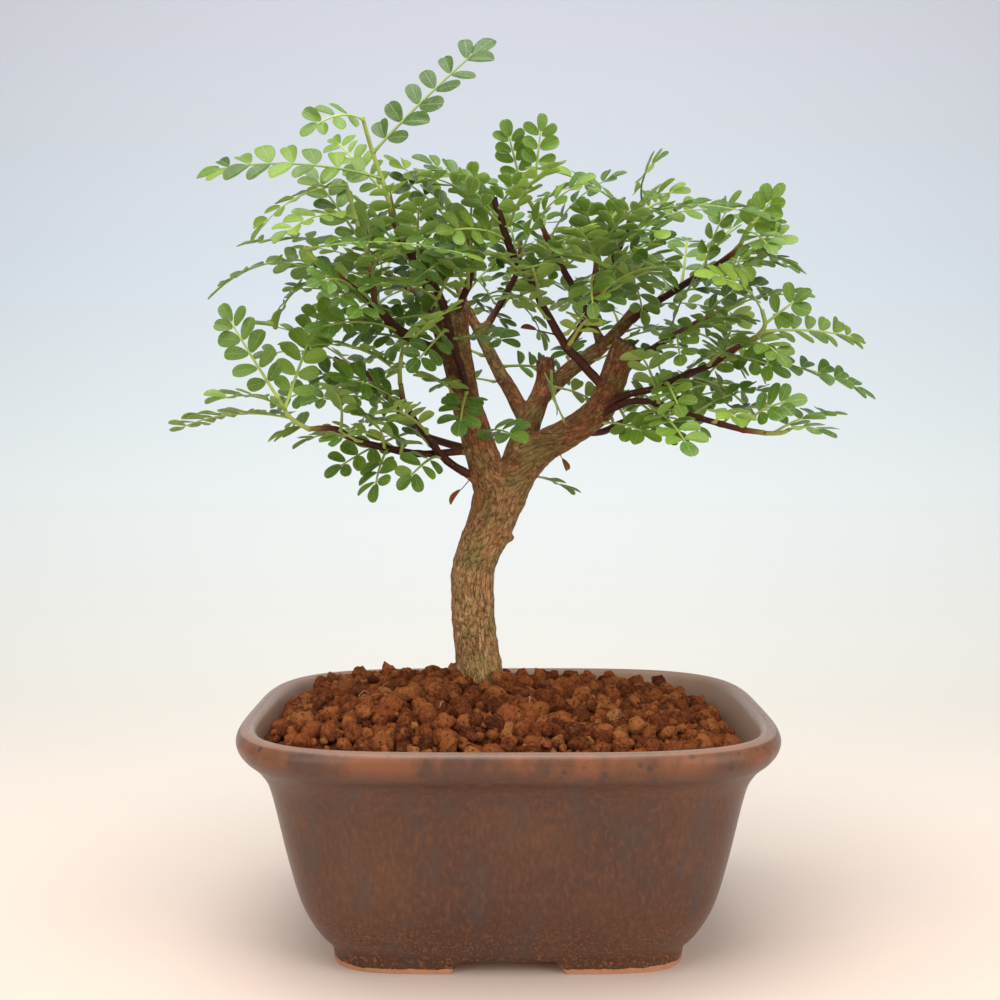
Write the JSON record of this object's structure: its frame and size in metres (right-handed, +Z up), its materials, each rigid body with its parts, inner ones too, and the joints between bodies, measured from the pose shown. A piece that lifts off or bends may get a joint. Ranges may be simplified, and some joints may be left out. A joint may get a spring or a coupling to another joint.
{
  "type": "chinese pepper bonsai",
  "caption": "Small bonsai with a forked trunk, cut-back branches and fine pinnate leaves, in a flared rectangular glazed pot filled with red clay granules.",
  "frame": {"origin": "on the ground under the middle of the pot", "axes": "+Z up, +X to the right and -Y towards the viewer, along the pot's long and short sides"},
  "size_m": [0.1976, 0.118, 0.2473],
  "materials": {
    "brown_glaze": "satin",
    "clay_granules": "matte",
    "bark": "matte",
    "dark_leaf": "satin",
    "green_leaf": "satin",
    "olive_leaf": "satin",
    "young_leaf": "satin"
  },
  "bodies": {
    "root": {"leaf_01": "dark_leaf", "leaf_02": "green_leaf", "leaf_03": "olive_leaf", "leaf_04": "green_leaf", "leaf_05": "dark_leaf", "leaf_06": "green_leaf", "leaf_07": "olive_leaf", "leaf_08": "green_leaf", "leaf_09": "dark_leaf", "leaf_10": "green_leaf", "leaf_11": "olive_leaf", "leaf_12": "green_leaf", "leaf_13": "dark_leaf", "leaf_14": "green_leaf", "leaf_15": "olive_leaf", "leaf_16": "green_leaf", "leaf_17": "dark_leaf", "leaf_18": "green_leaf", "leaf_19": "olive_leaf", "leaf_20": "green_leaf", "leaf_21": "dark_leaf", "leaf_22": "green_leaf", "leaf_23": "olive_leaf", "leaf_24": "green_leaf", "leaf_25": "dark_leaf", "leaf_26": "green_leaf", "leaf_27": "olive_leaf", "leaf_28": "green_leaf", "leaf_29": "dark_leaf", "leaf_30": "green_leaf", "leaf_31": "olive_leaf", "leaf_32": "green_leaf", "leaf_across_stub": "green_leaf", "leaf_behind_fork": "green_leaf", "leaf_branch_front": "green_leaf", "leaf_hanging_fork": "green_leaf", "leaf_hanging_left": "green_leaf", "leaf_right_drop": "green_leaf", "leaf_right_long": "green_leaf", "leaf_top_right_in": "green_leaf", "leaf_top_right_out": "green_leaf", "pot": "brown_glaze", "shoot_crest": "young_leaf", "shoot_crown_peak": "dark_leaf", "shoot_left_high": "olive_leaf", "shoot_left_low": "young_leaf", "shoot_left_middle": "dark_leaf", "shoot_low_middle": "green_leaf", "shoot_right": "olive_leaf", "shoot_right_low": "dark_leaf", "shoot_top_middle": "young_leaf", "soil": "clay_granules", "trunk_and_branches": "bark"}
  },
  "joints": []
}
